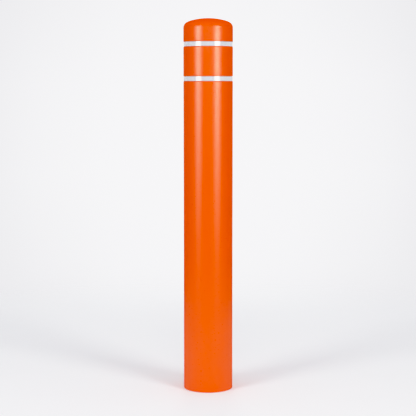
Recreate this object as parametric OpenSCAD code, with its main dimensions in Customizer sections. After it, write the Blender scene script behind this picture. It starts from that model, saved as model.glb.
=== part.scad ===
// Bollard cover sleeve: a one-piece moulded shell with a domed top, two tape grooves
// with reflective bands, and foam strips in the bore that grip the covered post.
// Millimetres, +Z up. The origin is on the axis, in the plane of the base rim.

/* [Post and fit] */
// Outside diameter of the steel post that the sleeve covers
post_diameter = 168.3; // [114.3:0.1:219.1]
// Radial slip between the post and the faces of the foam strips
post_slip = 0.1; // [0.02:0.02:0.2]

/* [Sleeve] */
// Height of the sleeve from the base rim to the top of the dome
sleeve_height = 1424; // [1000:1:1900]
// Thickness of the moulded wall
wall_thickness = 5; // [4:0.25:8]
// Radius of the rounded outer edge of the base rim
base_edge_radius = 3.5; // [1:0.25:3.75]

/* [Dome] */
// Radius of the flat crown arc of the dome
crown_radius = 246; // [200:1:320]
// Radius of the arc between the crown and the shoulder
haunch_radius = 69; // [56:1:90]
// Radius of the shoulder arc that runs into the wall
shoulder_radius = 23; // [14:0.5:30]
// Share of the outer radius that the crown arc covers
crown_span_share = 0.7; // [0.6:0.01:0.75]

/* [Reflective bands] */
// Height of each reflective tape
tape_height = 18; // [12:0.5:40]
// Thickness of the tape
tape_thickness = 0.45; // [0.2:0.05:0.8]
// Distance from the top of the dome to the middle of the upper tape
upper_band_drop = 98; // [75:1:160]
// Distance between the middles of the two tapes
band_spacing = 130; // [70:1:220]
// Depth of each tape groove below the wall
groove_depth = 1.6; // [1:0.1:2.5]
// Radius of the rounded lips of each groove
groove_lip_radius = 3.5; // [2.5:0.25:6]
// Gap between the tape's edges and the lips of its groove
tape_edge_gap = 0.3; // [0.1:0.05:0.8]
// Gap between the butted ends of each tape, at the back
tape_end_gap = 1.5; // [0.5:0.1:4]

/* [Foam strips] */
// Thickness of the foam
foam_thickness = 4.75; // [3:0.25:12]
// Width of each strip round the bore
foam_width = 50; // [40:1:60]
// Length of each strip
foam_length = 300; // [100:5:360]
// Distance from the base rim to the lower strips
foam_base_margin = 60; // [10:5:120]
// Distance from the foot of the dome to the upper strips
foam_dome_margin = 60; // [10:5:120]

/* [Hidden] */
// Film of adhesive behind the tapes and the foam strips
glue_film = 0.1;
// How far a cutting shape runs past what it cuts
overrun = 2;
// How far a rounding arc stands proud of the surface that it runs into, so that they cross cleanly
arc_overlap = 0.004;
$fn = 128;

// Radii of the nested round surfaces, from the post outwards
foam_face_radius = post_diameter / 2 + post_slip;
foam_back_radius = foam_face_radius + foam_thickness;
bore_radius = foam_back_radius + glue_film;
outer_radius = bore_radius + wall_thickness;
groove_floor_radius = outer_radius - groove_depth;
tape_back_radius = groove_floor_radius + glue_film;

// Angles from the vertical at which one arc of the dome runs into the next
crown_to_haunch = crown_radius - haunch_radius + arc_overlap;
haunch_to_shoulder = haunch_radius - shoulder_radius + arc_overlap;
shoulder_offset = outer_radius - shoulder_radius + arc_overlap;
crown_angle = asin(crown_span_share * outer_radius / crown_radius);
haunch_angle = asin((shoulder_offset - crown_to_haunch * sin(crown_angle)) / haunch_to_shoulder);

// Centres of the three dome arcs, as [radius, height] from the top of the dome
crown_centre = [0, -crown_radius];
haunch_centre = along(crown_centre, crown_angle, crown_to_haunch);
shoulder_centre = along(haunch_centre, haunch_angle, haunch_to_shoulder);
dome_height = -shoulder_centre[1];

// Heights of the foot of the dome and of the middles of the tapes
dome_foot_level = sleeve_height - dome_height;
upper_band_level = sleeve_height - upper_band_drop;
lower_band_level = upper_band_level - band_spacing;

// Groove floor, and how far each lip runs beyond it
groove_floor_height = tape_height + 2 * tape_edge_gap;
lip_run = sqrt(groove_depth * (2 * groove_lip_radius - groove_depth));

// Foam strips stand at quarter turns, in a lower and an upper ring
foam_angle = foam_width / foam_back_radius * 180 / PI;
lower_foam_level = foam_base_margin;
upper_foam_level = dome_foot_level - foam_dome_margin - foam_length;
right_turn = 0;
back_turn = 90;
left_turn = 180;
front_turn = 270;

// The point at a distance from a centre, at an angle from the vertical
function along(centre, angle, distance) =
    centre + distance * [sin(angle), cos(angle)];

// One arc of the dome as a filled slice, from the vertical to an angle
module arc_slice(centre, radius, angle) {
    reach = 2 * radius;
    intersection() {
        translate(centre)
            circle(r = radius);
        polygon([centre, along(centre, 0, reach), along(centre, angle, reach)]);
    }
}

// Half section of the domed sleeve, filled, with every surface moved in by inset.
// It is drawn down from the top of the dome, and runs past the base by extra.
module domed_section(inset, extra) {
    radius = outer_radius - inset;
    depth = sleeve_height + extra;
    intersection() {
        translate([0, -depth])
            square([radius, depth]);
        union() {
            translate([0, -depth])
                square([radius, depth - dome_height]);
            arc_slice(crown_centre, crown_radius - inset, crown_angle);
            arc_slice(haunch_centre, haunch_radius - inset, haunch_angle);
            translate(shoulder_centre)
                circle(r = shoulder_radius - inset);
        }
    }
}

// Section cut away for one tape groove: a flat floor between two rounded lips
module groove_section() {
    half_mouth = groove_floor_height / 2 + lip_run;
    lip_centre = outer_radius - groove_lip_radius + arc_overlap;
    difference() {
        translate([groove_floor_radius, -half_mouth])
            square([groove_depth + overrun, 2 * half_mouth]);
        for (side = [-1, 1])
            translate([lip_centre, side * half_mouth])
                circle(r = groove_lip_radius);
    }
}

// Section cut away to round the outer edge of the base rim
module base_edge_section() {
    edge_centre = outer_radius - base_edge_radius + arc_overlap;
    difference() {
        translate([edge_centre, -overrun])
            square(base_edge_radius + overrun);
        translate([edge_centre, base_edge_radius - arc_overlap])
            circle(r = base_edge_radius);
    }
}

module sleeve_shell() {
    color("darkorange")
        rotate_extrude()
            difference() {
                translate([0, sleeve_height])
                    domed_section(0, 0);
                translate([0, sleeve_height])
                    domed_section(wall_thickness, overrun);
                translate([0, upper_band_level])
                    groove_section();
                translate([0, lower_band_level])
                    groove_section();
                base_edge_section();
            }
}

// A tape round the sleeve, with its butted ends at the back
module reflective_band(level) {
    end_angle = tape_end_gap / tape_back_radius * 180 / PI;
    rotate([0, 0, back_turn + end_angle / 2])
        rotate_extrude(angle = 360 - end_angle)
            translate([tape_back_radius, level - tape_height / 2])
                square([tape_thickness, tape_height]);
}

// A foam strip on the bore wall, with its middle at one turn round the axis
module foam_strip(turn, level) {
    rotate([0, 0, turn - foam_angle / 2])
        rotate_extrude(angle = foam_angle)
            translate([foam_face_radius, level])
                square([foam_thickness, foam_length]);
}

module upper_reflective_band() {
    color("whitesmoke")
        reflective_band(upper_band_level);
}

module lower_reflective_band() {
    color("whitesmoke")
        reflective_band(lower_band_level);
}

module upper_foam_strip_front() {
    color("dimgray")
        foam_strip(front_turn, upper_foam_level);
}

module upper_foam_strip_right() {
    color("dimgray")
        foam_strip(right_turn, upper_foam_level);
}

module upper_foam_strip_back() {
    color("dimgray")
        foam_strip(back_turn, upper_foam_level);
}

module upper_foam_strip_left() {
    color("dimgray")
        foam_strip(left_turn, upper_foam_level);
}

module lower_foam_strip_front() {
    color("dimgray")
        foam_strip(front_turn, lower_foam_level);
}

module lower_foam_strip_right() {
    color("dimgray")
        foam_strip(right_turn, lower_foam_level);
}

module lower_foam_strip_back() {
    color("dimgray")
        foam_strip(back_turn, lower_foam_level);
}

module lower_foam_strip_left() {
    color("dimgray")
        foam_strip(left_turn, lower_foam_level);
}

sleeve_shell();
upper_reflective_band();
lower_reflective_band();
upper_foam_strip_front();
upper_foam_strip_right();
upper_foam_strip_back();
upper_foam_strip_left();
lower_foam_strip_front();
lower_foam_strip_right();
lower_foam_strip_back();
lower_foam_strip_left();
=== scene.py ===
import math

import bpy
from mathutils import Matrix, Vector
from mathutils import noise


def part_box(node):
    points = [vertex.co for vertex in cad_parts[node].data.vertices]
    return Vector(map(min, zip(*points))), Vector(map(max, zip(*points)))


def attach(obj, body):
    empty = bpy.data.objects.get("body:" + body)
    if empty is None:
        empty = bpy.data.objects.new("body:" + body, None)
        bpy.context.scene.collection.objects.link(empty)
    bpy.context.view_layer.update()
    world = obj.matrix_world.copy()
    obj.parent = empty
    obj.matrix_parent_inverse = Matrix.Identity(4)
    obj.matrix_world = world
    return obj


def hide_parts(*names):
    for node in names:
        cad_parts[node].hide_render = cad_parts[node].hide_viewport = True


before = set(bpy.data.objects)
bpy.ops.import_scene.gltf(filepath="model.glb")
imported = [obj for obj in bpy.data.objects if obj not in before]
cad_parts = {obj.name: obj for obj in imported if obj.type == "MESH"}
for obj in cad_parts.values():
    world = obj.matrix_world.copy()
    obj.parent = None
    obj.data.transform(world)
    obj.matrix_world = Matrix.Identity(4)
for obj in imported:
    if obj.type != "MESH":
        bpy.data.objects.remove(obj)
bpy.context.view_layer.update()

MM = 0.001
QUARTER = math.pi / 2
BODY = "root"

# Places closer than this count as one
CLOSE = 0.01 * MM

# Sleeve, in metres. The height and the outer radius come from the frame.
shell_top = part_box("sleeve_shell")[1]
SLEEVE_HEIGHT = shell_top.z
OUTER_RADIUS = shell_top.x
WALL = 5 * MM
BORE_RADIUS = OUTER_RADIUS - WALL
BASE_EDGE = 3.5 * MM
BORE_EDGE = 0.6 * MM

# The three arcs of the dome
CROWN_RADIUS = 246 * MM
HAUNCH_RADIUS = 69 * MM
SHOULDER_RADIUS = 23 * MM
CROWN_SPAN_SHARE = 0.7

# Slow waves that moulding leaves in the outer wall; they only go inwards
WAVE_DEPTH = 0.35 * MM
WAVE_FADE = 40 * MM
WAVES_ROUND = 1.1
WAVES_PER_METRE = 7

# Tape grooves and tapes
TAPE_NODES = ("upper_reflective_band", "lower_reflective_band")
GROOVE_DEPTH = 1.6 * MM
LIP_RADIUS = 3.5 * MM
TAPE_EDGE_GAP = 0.3 * MM
TAPE_HEIGHT = 18 * MM
TAPE_THICKNESS = 0.45 * MM
TAPE_CORNER = 0.16 * MM
TAPE_END_GAP = 1.5 * MM
GLUE_FILM = 0.1 * MM

# Where the shell wears, and where painted shade darkens it near its inward corners, as curvatures in 1/m
# and a distance
WEAR_FROM = 60
WEAR_FULL = 250
CREASE_FROM = -200
CREASE_SHADE_REACH = 2.2 * MM

# Foam strips
FOAM_RINGS = ("upper", "lower")
FOAM_TURNS = {"right": 0, "back": 90, "left": 180, "front": 270}
FOAM_THICKNESS = 4.75 * MM
FOAM_WIDTH = 50 * MM
FOAM_EDGE = 1.6 * MM
FOAM_EDGE_SHARES = (0, 0.08, 0.25, 0.5, 0.75, 1)
FOAM_UNEVEN = 0.12 * MM
FOAM_LUMPS_PER_METRE = 60
FOAM_BACK = BORE_RADIUS - GLUE_FILM
FOAM_FACE = FOAM_BACK - FOAM_THICKNESS

# Fineness of the meshes: steps round the axis, along arcs and along straight stretches
SEGMENTS = 192
CROWN_STEPS = 16
HAUNCH_STEPS = 8
SHOULDER_STEPS = 22
LIP_STEPS = 8
GROOVE_FLOOR_SHARES = (0.25, 0, -0.25)
BASE_EDGE_STEPS = 9
BORE_EDGE_STEPS = 4
WALL_STEP = 18 * MM
TAPE_CORNER_STEPS = 4
TAPE_ROWS = 6
FOAM_COLUMNS = 22
FOAM_ROWS = 90

# Edges sharper than this stay sharp in the shading, in degrees
SHARP_DEGREES = 40
FOAM_SHARP_DEGREES = 50

# Unrolled map of the shell: the room round each half, and a nudge that keeps the seam on one side
MAP_NAME = "OFBake"
MAP_MARGIN = 0.005
SEAM_NUDGE = 1e-6

# Most values of a noise lie in this range. Its scales below are in 1/m.
NOISE_RANGE = (0.3, 0.7)

# Places of the colour sockets in a Mix node, and of the curve for all channels in a tone curve
MIX_FIRST = 6
MIX_SECOND = 7
MIX_RESULT = 2
ALL_CHANNELS = 3

# Shell plastic: colours, and the noises that mix them
CLOUD_SCALE = 14
CLOUD_COLOURS = ((0.81, 0.0975, 0.0), (0.85, 0.1045, 0.0))
FLOW_SCALE = 90
FLOW_STRETCH = (1, 1, 0.06)
FLOW_SHARE = 0.25
FLOW_COLOUR = (0.87, 0.113, 0.0)
WORN_SCALE = 130
WORN_RANGE = (0.42, 0.62)
WORN_SHARE = 0.3
WORN_COLOUR = (0.88, 0.22, 0.05)
# Painted shade in the groove corners: its share and its colour
CREASE_SHADE_SHARE = 0.6
CREASE_SHADE_COLOUR = (0.4, 0.034, 0.0)

# Shell plastic: roughness, with fine upright rubs, and a peel like an orange's
SHELL_ROUGHNESS = (0.27, 0.33)
MOTTLE_SCALE = 160
RUB_SCALE = 420
RUB_STRETCH = (1, 1, 0.03)
RUB_RANGE = (0.6, 0.72)
RUB_ROUGHNESS = 0.012
WORN_ROUGHNESS = 0.14
PEEL_SCALE = 620
PEEL_STRENGTH = 0.03
PEEL_DEPTH = 0.3 * MM

# Shell plastic: the specular level face on, what is left of it on the wall at grazing angles,
# the range of facing over which it fades, and the height over which the dome loses the rest
SHELL_IOR = 1.5
SHINE = 0.5
GRAZING_SHINE = 0.02
SHINE_FADE = (0.3, 0.7)
DOME_FADE = 15 * MM

# Reflective tape: glass beads in honeycomb cells, under a glossy film
BEAD_SCALE = 1500
BEAD_REACH = 0.7
SPECKLE_SCALE = 900
SPECKLE_RANGE = (0.4, 1.1)
TAPE_COLOURS = ((0.585, 0.585, 0.628), (0.722, 0.723, 0.77))
COMB_PITCH = 2.8 * MM
COMB_DEGREES = (0, 60, 120)
COMB_WALL = (-1.0, -0.4)
COMB_SHARE = 0.5
COMB_COLOUR = (0.84, 0.843, 0.885)
COMB_ROUGHNESS = 0.05
FILM_SCALE = 220
FILM_ROUGHNESS = (0.05, 0.09)
TAPE_BUMP = 0.05
TAPE_BUMP_DEPTH = 0.05 * MM
TAPE_IOR = 1.55
TAPE_DIFFUSE_ROUGHNESS = 1.0
TAPE_SHEEN = 0.5
TAPE_SHEEN_ROUGHNESS = 0.5

# Painted shadow and painted orange reflection from the groove's lips along the tape's edges: how far from
# the upper edge it starts and is full, then how far from the lower edge it is still full and ends
UPPER_EDGE_SHADE = (1.5 * MM, 0.3 * MM)
LOWER_EDGE_SHADE = (0.2 * MM, 0.9 * MM)
EDGE_SHADE_SCALE = 260
EDGE_SHADE_SHARES = (0.5, 0.9)
EDGE_SHADE_COLOUR = (0.42, 0.17, 0.1)

# Foam: open cells under slow clouds
CELL_SCALE = 900
CELL_REACH = 0.6
CELL_SHARE = 0.7
FOAM_CLOUD_SCALE = 60
FOAM_CLOUD_SHARE = 0.3
FOAM_COLOURS = ((0.018, 0.018, 0.02), (0.06, 0.06, 0.064))
FOAM_ROUGHNESS = (0.82, 0.95)
FOAM_BUMP = 0.5
FOAM_BUMP_DEPTH = 0.4 * MM

# Camera
FOCAL_MM = 106.54
SENSOR_MM = 36
CAMERA_PLACE = (-0.57 * MM, -4711.8 * MM, 1166.4 * MM)
CAMERA_PITCH = 5.634
FAR_CLIP = 100

# Floor and backdrop, in metres
STAGE_SEGMENTS = 64
FLOOR_RADIUS = 6
FLOOR_RINGS = 24
FLOOR_LEVEL = -0.02 * MM
FLOOR_FADE = (1.4, 3.0)
FLOOR_CLOUD_SCALE = 3
FLOOR_COLOURS = ((0.9, 0.907, 0.945), (0.92, 0.927, 0.965))
BACKDROP_RADIUS = 12
BACKDROP_STEPS = 32
BACKDROP_POOL = (0, 0.9994, 0.035)
BACKDROP_SPREAD = 0.045
BACKDROP_GLOW = (0.895, 1.085)
BACKDROP_COLOUR = (0.97, 0.965, 1, 1)

# Lights: azimuths from the front, places and sizes in metres, strengths in watts
SIDES = {"left": -45.5, "right": 42}
AIM = (0, 0, 0.7)
STRIP_AWAY = 2.1
STRIP_LEVEL = 1.1
STRIP_HEIGHT = 1.8
STRIP_WIDTHS = {"left": 0.88, "right": 0.84}
STRIP_WATTS = {"left": 55, "right": 69}
STRIP_COLOUR = (1, 0.995, 0.93)
STRIP_FADE = (0.15, 1.35)
STRIP_FADE_POWER = 1.6
KEY_AWAY = 4.5
KEY_LEVEL = 3.6
KEY_SIZE = (1.6, 2.4)
KEY_WATTS = {"left": 91, "right": 101}
BACK_PANEL = {"place": (0, 2.4, 1.2), "target": (0, 0, 1), "size": (4, 2.4), "watts": 22, "glossy": True}
FRONT_FILL = {"place": (0, -4.6, 2.2), "target": AIM, "size": (1.6, 1.2), "watts": 46, "glossy": False}
BACK_FILL = {"place": (0, 3.2, 1.6), "target": AIM, "size": (0.9, 0.9), "watts": 19, "glossy": False}

# Strength of the even light from all round, at the horizon and overhead
SKY = (0.45, 0.56)

# Tone: the level where the picture starts to roll off to white, the brightest level,
# the levels where the curve has its points, and how rich the colours are
KNEE = 0.75
WHITE_LEVEL = 2.0
TONE_LEVELS = (0.25, 0.5, 0.75, 0.8, 0.85, 0.9, 1.0, 1.1, 1.25, 1.5, 1.75)
SATURATION = 1.035


def along(centre, angle, distance):
    """The point at a distance from a centre, at an angle from the vertical, as (radius, height)."""
    return centre[0] + distance * math.sin(angle), centre[1] + distance * math.cos(angle)


def arc(centre, radius, start, end, steps):
    """Points along an arc, from one angle from the vertical to another."""
    points = []
    for i in range(steps + 1):
        angle = start + (end - start) * i / steps
        points.append(along(centre, angle, radius))
    return points


def round_axis(radius, turn, height):
    """The point at a radius, a turn round the axis and a height."""
    return Vector((radius * math.cos(turn), radius * math.sin(turn), height))


def dome_points(inset):
    """The dome's three arcs, from the top to the wall, moved in by inset."""
    crown_centre = (0, SLEEVE_HEIGHT - CROWN_RADIUS)
    crown_angle = math.asin(CROWN_SPAN_SHARE * OUTER_RADIUS / CROWN_RADIUS)
    haunch_centre = along(crown_centre, crown_angle, CROWN_RADIUS - HAUNCH_RADIUS)
    reach = OUTER_RADIUS - SHOULDER_RADIUS - haunch_centre[0]
    haunch_angle = math.asin(reach / (HAUNCH_RADIUS - SHOULDER_RADIUS))
    shoulder_centre = along(haunch_centre, haunch_angle, HAUNCH_RADIUS - SHOULDER_RADIUS)
    crown = arc(crown_centre, CROWN_RADIUS - inset, 0, crown_angle, CROWN_STEPS)
    haunch = arc(haunch_centre, HAUNCH_RADIUS - inset, crown_angle, haunch_angle, HAUNCH_STEPS)
    shoulder = arc(shoulder_centre, SHOULDER_RADIUS - inset, haunch_angle, QUARTER, SHOULDER_STEPS)
    return crown + haunch[1:] + shoulder[1:]


def dome_foot():
    """The height at which the dome runs into the wall."""
    return dome_points(0)[-1][1]


def wall_points(radius, start, end):
    """Points along a straight wall between two heights, ends left out."""
    steps = max(1, round(abs(end - start) / WALL_STEP))
    return [(radius, start + (end - start) * i / steps) for i in range(1, steps)]


def groove_points(node):
    """The groove of one tape, from its upper lip to its lower lip."""
    low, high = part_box(node)
    middle = (low.z + high.z) / 2
    floor_height = high.z - low.z + 2 * TAPE_EDGE_GAP
    lip_angle = math.acos((LIP_RADIUS - GROOVE_DEPTH) / LIP_RADIUS)
    mouth = floor_height / 2 + LIP_RADIUS * math.sin(lip_angle)
    lip_centre = OUTER_RADIUS - LIP_RADIUS
    upper = arc((lip_centre, middle + mouth), LIP_RADIUS, QUARTER, QUARTER + lip_angle, LIP_STEPS)
    lower = arc((lip_centre, middle - mouth), LIP_RADIUS, QUARTER - lip_angle, QUARTER, LIP_STEPS)
    floor_radius = OUTER_RADIUS - GROOVE_DEPTH
    floor = [(floor_radius, middle + floor_height * share) for share in GROOVE_FLOOR_SHARES]
    return upper + floor + lower


def outer_profile():
    """The shell's half section from the top of the dome down to the base rim."""
    points = dome_points(0)
    for node in TAPE_NODES:
        groove = groove_points(node)
        points += wall_points(OUTER_RADIUS, points[-1][1], groove[0][1])
        points += groove
    edge_centre = (OUTER_RADIUS - BASE_EDGE, BASE_EDGE)
    edge = arc(edge_centre, BASE_EDGE, QUARTER, 2 * QUARTER, BASE_EDGE_STEPS)
    points += wall_points(OUTER_RADIUS, points[-1][1], edge[0][1])
    return points + edge


def inner_profile():
    """The shell's half section from the base rim up the bore to the top of the dome."""
    edge_centre = (BORE_RADIUS + BORE_EDGE, BORE_EDGE)
    points = arc(edge_centre, BORE_EDGE, 2 * QUARTER, 3 * QUARTER, BORE_EDGE_STEPS)
    dome = dome_points(WALL)[::-1]
    points += wall_points(BORE_RADIUS, points[-1][1], dome[0][1])
    return points + dome


def curvatures(profile):
    """The curvature at each point of a profile, positive at an outward corner."""
    values = [0.0]
    for before, here, after in zip(profile, profile[1:], profile[2:]):
        first = Vector(here) - Vector(before)
        second = Vector(after) - Vector(here)
        values.append(first.angle_signed(second) * 2 / (first.length + second.length))
    return values + [0.0]


def wear_values(profile):
    """How much each point of a profile is rubbed in use: most at its outward corners."""
    room = WEAR_FULL - WEAR_FROM
    return [min(max((bend - WEAR_FROM) / room, 0.0), 1.0) for bend in curvatures(profile)]


def corner_shade_values(profile):
    """How close each point of a profile lies to an inward corner, from 0 to 1; this sets the painted shade
    there.
    """
    corners = [Vector(p) for p, bend in zip(profile, curvatures(profile)) if bend < CREASE_FROM]
    values = []
    for point in profile:
        nearest = min((Vector(point) - corner).length for corner in corners)
        values.append(max(1 - nearest / CREASE_SHADE_REACH, 0.0))
    return values


def on_axis(point):
    """Whether a point of a profile lies on the axis."""
    return point[0] < CLOSE


def lathe(profile, segments):
    """Vertices and faces of a profile turned round the axis; points on the axis become poles."""
    turns = [2 * math.pi * i / segments for i in range(segments)]
    vertices = []
    rings = []
    for point in profile:
        radius, height = point
        first = len(vertices)
        if on_axis(point):
            rings.append([first] * segments)
            vertices.append((0, 0, height))
            continue
        vertices += [round_axis(radius, turn, height) for turn in turns]
        rings.append(list(range(first, first + segments)))
    faces = []
    for upper, lower in zip(rings, rings[1:]):
        for i in range(segments):
            j = (i + 1) % segments
            corners = [upper[i], lower[i], lower[j], upper[j]]
            faces.append(tuple(dict.fromkeys(corners)))
    return vertices, faces


def ring_values(profile, values, segments):
    """One value for each vertex that lathe makes, from one value for each point of the profile."""
    spread = []
    for point, value in zip(profile, values):
        spread += [value] * (1 if on_axis(point) else segments)
    return spread


def store(mesh, name, values, kind="FLOAT"):
    """Keeps values of the vertices in a mesh, for its material to read."""
    attribute = mesh.attributes.new(name, kind, "POINT")
    if kind == "FLOAT":
        attribute.data.foreach_set("value", values)
    else:
        attribute.data.foreach_set("vector", [part for value in values for part in value])


def new_piece(name, vertices, faces, material, sharp_degrees=SHARP_DEGREES):
    """A smooth-shaded mesh piece with its sharp edges marked."""
    mesh = bpy.data.meshes.new(name)
    mesh.from_pydata(vertices, [], faces)
    mesh.validate()
    mesh.shade_smooth()
    mesh.set_sharp_from_angle(angle=math.radians(sharp_degrees))
    mesh.materials.append(material)
    piece = bpy.data.objects.new(name, mesh)
    bpy.context.scene.collection.objects.link(piece)
    return piece


class Nodes:
    """Short calls for building the nodes of a material, a light or the sky."""

    def __init__(self, tree):
        self.tree = tree

    def add(self, kind, **values):
        node = self.tree.nodes.new(kind)
        for key, value in values.items():
            setattr(node, key, value)
        return node

    def link(self, out_socket, in_socket):
        self.tree.links.new(out_socket, in_socket)

    def put(self, value, in_socket):
        """Links a socket, or sets a plain number or colour."""
        if isinstance(value, bpy.types.NodeSocket):
            self.link(value, in_socket)
        elif isinstance(value, tuple):
            in_socket.default_value = (*value, 1)
        else:
            in_socket.default_value = value

    def object_coordinates(self, scale=(1, 1, 1)):
        place = self.add("ShaderNodeTexCoord")
        mapping = self.add("ShaderNodeMapping")
        mapping.inputs["Scale"].default_value = scale
        self.link(place.outputs["Object"], mapping.inputs["Vector"])
        return mapping.outputs["Vector"]

    def attribute(self, name, output="Fac"):
        return self.add("ShaderNodeAttribute", attribute_name=name).outputs[output]

    def coordinate(self, vector, axis):
        """One coordinate of a vector."""
        node = self.add("ShaderNodeSeparateXYZ")
        self.link(vector, node.inputs["Vector"])
        return node.outputs[axis]

    def along(self, vector, direction):
        """How far a vector reaches along a direction."""
        node = self.add("ShaderNodeVectorMath", operation="DOT_PRODUCT")
        node.inputs[1].default_value = direction
        self.link(vector, node.inputs[0])
        return node.outputs["Value"]

    def noise(self, vector, scale, detail=2.0):
        node = self.add("ShaderNodeTexNoise")
        node.inputs["Scale"].default_value = scale
        node.inputs["Detail"].default_value = detail
        self.link(vector, node.inputs["Vector"])
        return node.outputs["Fac"]

    def cells(self, vector, scale):
        node = self.add("ShaderNodeTexVoronoi")
        node.inputs["Scale"].default_value = scale
        self.link(vector, node.inputs["Vector"])
        return node.outputs["Distance"]

    def spread(self, value, low, high, to_low, to_high, interpolation="LINEAR"):
        """Maps one range of values to another, and holds it at its ends."""
        node = self.add("ShaderNodeMapRange", interpolation_type=interpolation)
        for key, number in zip(("From Min", "From Max", "To Min", "To Max"), (low, high, to_low, to_high)):
            node.inputs[key].default_value = number
        self.link(value, node.inputs["Value"])
        return node.outputs["Result"]

    def blend(self, factor, first, second):
        """Mixes two colours."""
        node = self.add("ShaderNodeMix", data_type="RGBA")
        self.link(factor, node.inputs["Factor"])
        self.put(first, node.inputs[MIX_FIRST])
        self.put(second, node.inputs[MIX_SECOND])
        return node.outputs[MIX_RESULT]

    def calculate(self, operation, first, second=0.0):
        node = self.add("ShaderNodeMath", operation=operation)
        self.put(first, node.inputs[0])
        self.put(second, node.inputs[1])
        return node.outputs["Value"]

    def sum(self, first, second):
        return self.calculate("ADD", first, second)

    def product(self, first, second):
        return self.calculate("MULTIPLY", first, second)

    def bump(self, height, strength, distance):
        node = self.add("ShaderNodeBump")
        node.inputs["Strength"].default_value = strength
        node.inputs["Distance"].default_value = distance
        self.link(height, node.inputs["Height"])
        return node.outputs["Normal"]

    def honeycomb(self, vector, pitch):
        """A honeycomb over flat coordinates in metres: 1 on its walls, 0 in its cells."""
        ripples = []
        for degrees in COMB_DEGREES:
            turn = math.radians(degrees)
            direction = Vector((math.cos(turn), math.sin(turn), 0))
            ramp = self.along(vector, direction * 2 * math.pi / pitch)
            ripples.append(self.calculate("COSINE", ramp))
        total = self.sum(self.sum(ripples[0], ripples[1]), ripples[2])
        return self.spread(total, *COMB_WALL, 1, 0)


def new_material(name):
    """A material with its Principled shader and a node builder."""
    material = bpy.data.materials.new(name)
    material.use_nodes = True
    shader = material.node_tree.nodes["Principled BSDF"]
    return material, shader, Nodes(material.node_tree)


def shell_plastic():
    """Orange moulded polyethylene: satin, faintly mottled and rubbed at its edges, with painted shade
    darkening its creases.

    Its gloss weakens at grazing angles, most of all on the dome.
    """
    material, shader, nodes = new_material("orange_polyethylene")
    place = nodes.object_coordinates()
    clouds = nodes.noise(place, CLOUD_SCALE, detail=3)
    colour = nodes.blend(clouds, *CLOUD_COLOURS)
    flow = nodes.noise(nodes.object_coordinates(FLOW_STRETCH), FLOW_SCALE)
    colour = nodes.blend(nodes.spread(flow, *NOISE_RANGE, 0, FLOW_SHARE), colour, FLOW_COLOUR)
    spots = nodes.spread(nodes.noise(place, WORN_SCALE, detail=4), *WORN_RANGE, 0, 1)
    worn = nodes.product(nodes.attribute("wear"), spots)
    colour = nodes.blend(nodes.product(worn, WORN_SHARE), colour, WORN_COLOUR)
    # Painted shade: the colour darkens near the groove's inward corners
    crease_shade = nodes.product(nodes.attribute("corner_shade"), CREASE_SHADE_SHARE)
    nodes.link(nodes.blend(crease_shade, colour, CREASE_SHADE_COLOUR), shader.inputs["Base Color"])
    mottling = nodes.spread(nodes.noise(place, MOTTLE_SCALE, detail=3), *NOISE_RANGE, *SHELL_ROUGHNESS)
    scratches = nodes.noise(nodes.object_coordinates(RUB_STRETCH), RUB_SCALE, detail=3)
    rubs = nodes.spread(scratches, *RUB_RANGE, 0, RUB_ROUGHNESS)
    roughness = nodes.sum(nodes.sum(mottling, rubs), nodes.product(worn, WORN_ROUGHNESS))
    nodes.link(roughness, shader.inputs["Roughness"])
    peel = nodes.noise(place, PEEL_SCALE)
    nodes.link(nodes.bump(peel, PEEL_STRENGTH, PEEL_DEPTH), shader.inputs["Normal"])
    shader.inputs["IOR"].default_value = SHELL_IOR
    facing = nodes.add("ShaderNodeLayerWeight").outputs["Facing"]
    foot = dome_foot()
    least = nodes.spread(nodes.coordinate(place, "Z"), foot, foot + DOME_FADE, GRAZING_SHINE, 0)
    shine = nodes.calculate("MAXIMUM", nodes.spread(facing, *SHINE_FADE, SHINE, 0), least)
    nodes.link(shine, shader.inputs["Specular IOR Level"])
    return material


def reflective_tape():
    """White reflective sheeting: glossy film over glass beads in honeycomb cells, with painted shadow and
    painted orange reflection along its edges.
    """
    material, shader, nodes = new_material("white_reflective_sheeting")
    place = nodes.object_coordinates()
    beads = nodes.spread(nodes.cells(place, BEAD_SCALE), 0, BEAD_REACH, BEAD_REACH, 0)
    speckle = nodes.sum(beads, nodes.noise(place, SPECKLE_SCALE))
    colour = nodes.blend(nodes.spread(speckle, *SPECKLE_RANGE, 0, 1), *TAPE_COLOURS)
    sheet = nodes.attribute("sheet", "Vector")
    walls = nodes.honeycomb(sheet, COMB_PITCH)
    colour = nodes.blend(nodes.product(walls, COMB_SHARE), colour, COMB_COLOUR)
    height = nodes.coordinate(sheet, "Y")
    # Painted shadow and painted orange reflection from the groove's lips, near the tape's upper and lower
    # edges
    start, full = (TAPE_HEIGHT - drop for drop in UPPER_EDGE_SHADE)
    upper = nodes.spread(height, start, full, 0, 1, "SMOOTHSTEP")
    lower = nodes.spread(height, *LOWER_EDGE_SHADE, 1, 0, "SMOOTHSTEP")
    shade_patches = nodes.spread(nodes.noise(place, EDGE_SHADE_SCALE, detail=3), *NOISE_RANGE, *EDGE_SHADE_SHARES)
    edge_shade = nodes.product(nodes.sum(upper, lower), shade_patches)
    nodes.link(nodes.blend(edge_shade, colour, EDGE_SHADE_COLOUR), shader.inputs["Base Color"])
    film = nodes.spread(nodes.noise(place, FILM_SCALE), *NOISE_RANGE, *FILM_ROUGHNESS)
    nodes.link(nodes.sum(film, nodes.product(walls, COMB_ROUGHNESS)), shader.inputs["Roughness"])
    relief = nodes.calculate("SUBTRACT", speckle, walls)
    nodes.link(nodes.bump(relief, TAPE_BUMP, TAPE_BUMP_DEPTH), shader.inputs["Normal"])
    shader.inputs["IOR"].default_value = TAPE_IOR
    shader.inputs["Diffuse Roughness"].default_value = TAPE_DIFFUSE_ROUGHNESS
    shader.inputs["Sheen Weight"].default_value = TAPE_SHEEN
    shader.inputs["Sheen Roughness"].default_value = TAPE_SHEEN_ROUGHNESS
    return material


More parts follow.
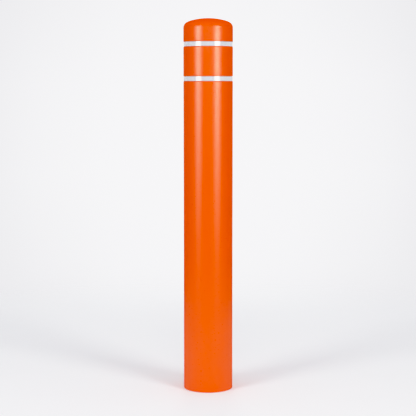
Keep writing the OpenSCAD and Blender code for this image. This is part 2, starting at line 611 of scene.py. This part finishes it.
def grip_foam():
    """Charcoal closed-cell foam with fine open cells in its cut faces."""
    material, shader, nodes = new_material("charcoal_cell_foam")
    place = nodes.object_coordinates()
    cells = nodes.cells(place, CELL_SCALE)
    clouds = nodes.noise(place, FOAM_CLOUD_SCALE, detail=3)
    pores = nodes.spread(cells, 0, CELL_REACH, 0, CELL_SHARE)
    shade = nodes.sum(pores, nodes.spread(clouds, *NOISE_RANGE, 0, FOAM_CLOUD_SHARE))
    nodes.link(nodes.blend(shade, *FOAM_COLOURS), shader.inputs["Base Color"])
    nodes.link(nodes.spread(clouds, *NOISE_RANGE, *FOAM_ROUGHNESS), shader.inputs["Roughness"])
    nodes.link(nodes.bump(cells, FOAM_BUMP, FOAM_BUMP_DEPTH), shader.inputs["Normal"])
    return material


def wave_depth(point, held_levels):
    """How far the moulded wall lies inside its true radius at a point; nothing at the held levels."""
    room = min(abs(point.z - level) for level in held_levels)
    fade = min(room / WAVE_FADE, 1.0) ** 2
    across = WAVES_ROUND / OUTER_RADIUS
    place = Vector((point.x * across, point.y * across, point.z * WAVES_PER_METRE))
    return WAVE_DEPTH * fade * (0.5 + 0.5 * noise.noise(place))


def wave_wall(vertices):
    """Presses slow waves into the vertices of the outer wall."""
    held_levels = [BASE_EDGE, dome_foot()]
    for node in TAPE_NODES:
        groove = groove_points(node)
        held_levels += [groove[0][1], groove[-1][1]]
    for i, vertex in enumerate(vertices):
        point = Vector(vertex)
        radius = point.xy.length
        if abs(radius - OUTER_RADIUS) < CLOSE:
            share = 1 - wave_depth(point, held_levels) / radius
            vertices[i] = (point.x * share, point.y * share, point.z)


def turn_share(point):
    """The share of a full turn from the seam at the back to a point."""
    return ((math.atan2(point.y, point.x) - QUARTER) / (2 * math.pi) + SEAM_NUDGE) % 1


def unroll(mesh, profile, rim_index, segments):
    """A map that unrolls a turned shell from the back: its outside on one half, its inside on the other."""
    runs = [0.0]
    for before, here in zip(profile, profile[1:]):
        runs.append(runs[-1] + (Vector(here) - Vector(before)).length)
    rings = ring_values(profile, range(len(profile)), segments)
    layer = mesh.uv_layers.new(name=MAP_NAME)
    for face in mesh.polygons:
        inside = max(rings[v] for v in face.vertices) > rim_index
        start, end = (runs[rim_index], runs[-1]) if inside else (0.0, runs[rim_index])
        points = [mesh.vertices[v].co for v in face.vertices]
        known = [turn_share(p) for p in points if p.xy.length > MM]
        if max(known) - min(known) > 0.5:
            known = [share + 1 if share < 0.5 else share for share in known]
        middle = sum(known) / len(known)
        for corner, v, point in zip(face.loop_indices, face.vertices, points):
            share = known.pop(0) if point.xy.length > MM else middle
            across = MAP_MARGIN + (0.5 - 2 * MAP_MARGIN) * share
            up = MAP_MARGIN + (1 - 2 * MAP_MARGIN) * (runs[rings[v]] - start) / (end - start)
            layer.uv[corner].vector = (across + 0.5 * inside, up)


def build_shell(material):
    """The moulded shell, with slow waves in its outer wall."""
    outside = outer_profile()
    profile = outside + inner_profile()
    vertices, faces = lathe(profile, SEGMENTS)
    wave_wall(vertices)
    piece = new_piece("moulded_shell", vertices, faces, material)
    store(piece.data, "wear", ring_values(profile, wear_values(profile), SEGMENTS))
    # How near each vertex lies to an inward corner, for the painted shade there
    store(piece.data, "corner_shade", ring_values(profile, corner_shade_values(profile), SEGMENTS))
    unroll(piece.data, profile, len(outside) - 1, SEGMENTS)
    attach(piece, BODY)
    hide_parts("sleeve_shell")


def tape_section(low, high):
    """The tape's cross section as a closed loop of (radius, height), its corners rounded."""
    back = OUTER_RADIUS - GROOVE_DEPTH + GLUE_FILM
    face = back + TAPE_THICKNESS
    inset = face - TAPE_CORNER
    upper = arc((inset, high - TAPE_CORNER), TAPE_CORNER, 0, QUARTER, TAPE_CORNER_STEPS)
    lower = arc((inset, low + TAPE_CORNER), TAPE_CORNER, QUARTER, 2 * QUARTER, TAPE_CORNER_STEPS)
    front = [(face, high + (low - high) * i / TAPE_ROWS) for i in range(1, TAPE_ROWS)]
    return [(back, high)] + upper + front + lower + [(back, low)]


def build_tape(node, material):
    """One reflective tape round the sleeve, with its butted ends at the back."""
    low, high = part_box(node)
    section = tape_section(low.z, high.z)
    count = len(section)
    half_gap = TAPE_END_GAP / 2 / section[0][0]
    start = QUARTER + half_gap
    sweep = 2 * (math.pi - half_gap)
    vertices = []
    sheet = []
    for i in range(SEGMENTS + 1):
        turn = sweep * i / SEGMENTS
        for radius, height in section:
            vertices.append(round_axis(radius, start + turn, height))
            sheet.append((turn * OUTER_RADIUS, height - low.z, 0))
    faces = []
    for first in range(0, SEGMENTS * count, count):
        for k in range(count):
            n = (k + 1) % count
            faces.append((first + k, first + n, first + count + n, first + count + k))
    last = SEGMENTS * count
    faces.append(tuple(range(count))[::-1])
    faces.append(tuple(range(last, last + count)))
    piece = new_piece(node.replace("reflective_band", "tape"), vertices, faces, material)
    store(piece.data, "sheet", sheet, "FLOAT_VECTOR")
    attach(piece, BODY)
    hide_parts(node)


def foam_drop(across, up, length):
    """How far the foam's face lies below its full thickness, near the edges of the strip."""
    edge = min(across, FOAM_WIDTH - across, up, length - up)
    if edge >= FOAM_EDGE:
        return 0.0
    lack = FOAM_EDGE - max(edge, 0.0)
    return FOAM_EDGE - math.sqrt(max(FOAM_EDGE ** 2 - lack ** 2, 0.0))


def foam_stations(length, inner_steps):
    """Distances across a strip, close together at its rounded edges."""
    edge = [FOAM_EDGE * share for share in FOAM_EDGE_SHARES]
    step = (length - 2 * FOAM_EDGE) / inner_steps
    middle = [FOAM_EDGE + step * i for i in range(1, inner_steps)]
    return edge + middle + [length - value for value in edge[::-1]]


def pad_faces(wide, tall):
    """Faces of a closed pad whose front and back are grids of wide by tall vertices, the front first."""
    behind = wide * tall
    faces = []
    for j in range(tall - 1):
        for a in range(j * wide, j * wide + wide - 1):
            b = a + wide
            faces.append((a, b, b + 1, a + 1))
            faces.append((behind + a, behind + a + 1, behind + b + 1, behind + b))
    rim = list(range(wide))
    rim += [j * wide + wide - 1 for j in range(1, tall)]
    rim += [(tall - 1) * wide + i for i in range(wide - 2, -1, -1)]
    rim += [j * wide for j in range(tall - 2, 0, -1)]
    for a, b in zip(rim, rim[1:] + rim[:1]):
        faces.append((a, b, behind + b, behind + a))
    return faces


def build_foam(ring, side, material):
    """One adhesive-backed foam strip on the bore, its face slightly uneven and its edges rounded."""
    node = f"{ring}_foam_strip_{side}"
    low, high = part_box(node)
    length = high.z - low.z
    middle = math.radians(FOAM_TURNS[side])
    columns = foam_stations(FOAM_WIDTH, FOAM_COLUMNS)
    rows = foam_stations(length, FOAM_ROWS)
    front = []
    back = []
    for up in rows:
        for across in columns:
            turn = middle + (across - FOAM_WIDTH / 2) / FOAM_BACK
            lump = Vector((across * FOAM_LUMPS_PER_METRE, up * FOAM_LUMPS_PER_METRE, FOAM_TURNS[side]))
            uneven = FOAM_UNEVEN * (1 + noise.noise(lump))
            radius = FOAM_FACE + uneven + foam_drop(across, up, length)
            front.append(round_axis(radius, turn, low.z + up))
            back.append(round_axis(FOAM_BACK, turn, low.z + up))
    faces = pad_faces(len(columns), len(rows))
    piece = new_piece(f"{ring}_foam_pad_{side}", front + back, faces, material, FOAM_SHARP_DEGREES)
    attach(piece, BODY)
    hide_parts(node)


def floor_material():
    """Pale matt floor that fades out with distance, so that it has no edge."""
    material, shader, nodes = new_material("pale_floor")
    place = nodes.object_coordinates()
    clouds = nodes.noise(place, FLOOR_CLOUD_SCALE, detail=3)
    nodes.link(nodes.blend(clouds, *FLOOR_COLOURS), shader.inputs["Base Color"])
    shader.inputs["Roughness"].default_value = 1.0
    shader.inputs["Specular IOR Level"].default_value = 0.0
    distance = nodes.add("ShaderNodeVectorMath", operation="LENGTH")
    nodes.link(place, distance.inputs[0])
    fade = nodes.spread(distance.outputs["Value"], *FLOOR_FADE, 1, 0, "SMOOTHSTEP")
    nodes.link(fade, shader.inputs["Alpha"])
    return material


def build_floor():
    """A round floor under the sleeve."""
    profile = [(FLOOR_RADIUS * i / FLOOR_RINGS, FLOOR_LEVEL) for i in range(FLOOR_RINGS, -1, -1)]
    vertices, faces = lathe(profile, STAGE_SEGMENTS)
    new_piece("floor", vertices, faces, floor_material())


def backdrop_material():
    """A pale glow with a soft pool of light behind the sleeve."""
    material, shader, nodes = new_material("pale_backdrop")
    material.node_tree.nodes.remove(shader)
    glow = nodes.add("ShaderNodeEmission")
    glow.inputs["Color"].default_value = BACKDROP_COLOUR
    toward = nodes.along(nodes.object_coordinates(), BACKDROP_POOL)
    edge = BACKDROP_RADIUS * (1 - BACKDROP_SPREAD)
    pool = nodes.spread(toward, edge, BACKDROP_RADIUS, *BACKDROP_GLOW, "SMOOTHSTEP")
    nodes.link(pool, glow.inputs["Strength"])
    nodes.link(glow.outputs["Emission"], material.node_tree.nodes["Material Output"].inputs["Surface"])
    return material


def build_backdrop():
    """A pale studio backdrop all round, which only the camera sees."""
    profile = arc((0, 0), BACKDROP_RADIUS, 0, math.pi, BACKDROP_STEPS)
    vertices, faces = lathe(profile, STAGE_SEGMENTS)
    backdrop = new_piece("backdrop", vertices, faces, backdrop_material())
    backdrop.visible_diffuse = False
    backdrop.visible_glossy = False
    backdrop.visible_transmission = False
    backdrop.visible_shadow = False


def area_light(name, place, target, size, watts, glossy):
    """A rectangular soft light, aimed at a target, that either shows in gloss or lights matt surfaces."""
    data = bpy.data.lights.new(name, "AREA")
    data.shape = "RECTANGLE"
    data.size, data.size_y = size
    data.energy = watts
    light = bpy.data.objects.new(name, data)
    light.location = place
    aim = Vector(target) - Vector(place)
    light.rotation_euler = aim.to_track_quat("-Z", "Y").to_euler()
    light.visible_glossy = glossy
    light.visible_diffuse = not glossy
    bpy.context.scene.collection.objects.link(light)
    return data


def fade_down(data):
    """Makes a light fade towards the floor."""
    data.use_nodes = True
    nodes = Nodes(data.node_tree)
    geometry = nodes.add("ShaderNodeNewGeometry")
    share = nodes.spread(nodes.coordinate(geometry.outputs["Position"], "Z"), *STRIP_FADE, 0, 1)
    glow = data.node_tree.nodes["Emission"]
    nodes.link(nodes.calculate("POWER", share, STRIP_FADE_POWER), glow.inputs["Strength"])


def build_lights():
    """Two tall softboxes and two high keys in front, a gloss panel behind, and two fills."""
    for side, degrees in SIDES.items():
        turn = math.radians(degrees) - QUARTER
        size = (STRIP_WIDTHS[side], STRIP_HEIGHT)
        place = round_axis(STRIP_AWAY, turn, STRIP_LEVEL)
        strip = area_light(f"strip_{side}", place, (0, 0, STRIP_LEVEL), size, STRIP_WATTS[side], True)
        strip.color = STRIP_COLOUR
        fade_down(strip)
        place = round_axis(KEY_AWAY, turn, KEY_LEVEL)
        area_light(f"key_{side}", place, AIM, KEY_SIZE, KEY_WATTS[side], False)
    area_light("back_panel", **BACK_PANEL)
    area_light("front_fill", **FRONT_FILL)
    area_light("back_fill", **BACK_FILL)


def build_sky():
    """Even light from all round, which matt surfaces see and gloss doesn't."""
    world = bpy.data.worlds.new("studio")
    bpy.context.scene.world = world
    world.use_nodes = True
    world.cycles_visibility.glossy = False
    world.cycles.sampling_method = "NONE"
    nodes = Nodes(world.node_tree)
    glow = world.node_tree.nodes["Background"]
    place = nodes.add("ShaderNodeTexCoord")
    up = nodes.coordinate(place.outputs["Generated"], "Z")
    nodes.link(nodes.spread(up, 0, 1, *SKY), glow.inputs["Strength"])
    glow.inputs["Color"].default_value = (1, 1, 1, 1)


def build_camera():
    """The camera at the photograph's place and angle."""
    data = bpy.data.cameras.new("camera")
    data.lens = FOCAL_MM
    data.sensor_width = SENSOR_MM
    data.clip_end = FAR_CLIP
    camera = bpy.data.objects.new("camera", data)
    camera.location = CAMERA_PLACE
    camera.rotation_euler = (math.radians(90 - CAMERA_PITCH), 0, 0)
    bpy.context.scene.collection.objects.link(camera)
    bpy.context.scene.camera = camera


def shoulder(level):
    """A camera's gentle shoulder: plain up to a knee, then rolling off towards white."""
    if level <= KNEE:
        return level
    room = 1 - KNEE
    return KNEE + room * (1 - math.exp((KNEE - level) / room))


def set_tone():
    """Plain colour handling with a gentle shoulder, so that the pale studio keeps its tone."""
    view = bpy.context.scene.view_settings
    view.view_transform = "Standard"
    view.look = "None"
    view.use_curve_mapping = True
    mapping = view.curve_mapping
    mapping.white_level = (WHITE_LEVEL, WHITE_LEVEL, WHITE_LEVEL)
    curve = mapping.curves[ALL_CHANNELS]
    for level in TONE_LEVELS:
        curve.points.new(level / WHITE_LEVEL, shoulder(level))
    curve.points[0].location = (0, 0)
    curve.points[-1].location = (1, shoulder(WHITE_LEVEL))
    mapping.update()


def enrich():
    """Slightly richer colours, as the photograph has."""
    scene = bpy.context.scene
    scene.use_nodes = True
    tree = scene.node_tree
    tree.nodes.clear()
    layers = tree.nodes.new("CompositorNodeRLayers")
    colours = tree.nodes.new("CompositorNodeHueSat")
    colours.inputs["Saturation"].default_value = SATURATION
    picture = tree.nodes.new("CompositorNodeComposite")
    tree.links.new(layers.outputs["Image"], colours.inputs["Image"])
    tree.links.new(colours.outputs["Image"], picture.inputs["Image"])


build_camera()
build_shell(shell_plastic())
tape = reflective_tape()
for tape_node in TAPE_NODES:
    build_tape(tape_node, tape)
foam = grip_foam()
for foam_ring in FOAM_RINGS:
    for foam_side in FOAM_TURNS:
        build_foam(foam_ring, foam_side, foam)
build_floor()
build_backdrop()
build_lights()
build_sky()
set_tone()
enrich()
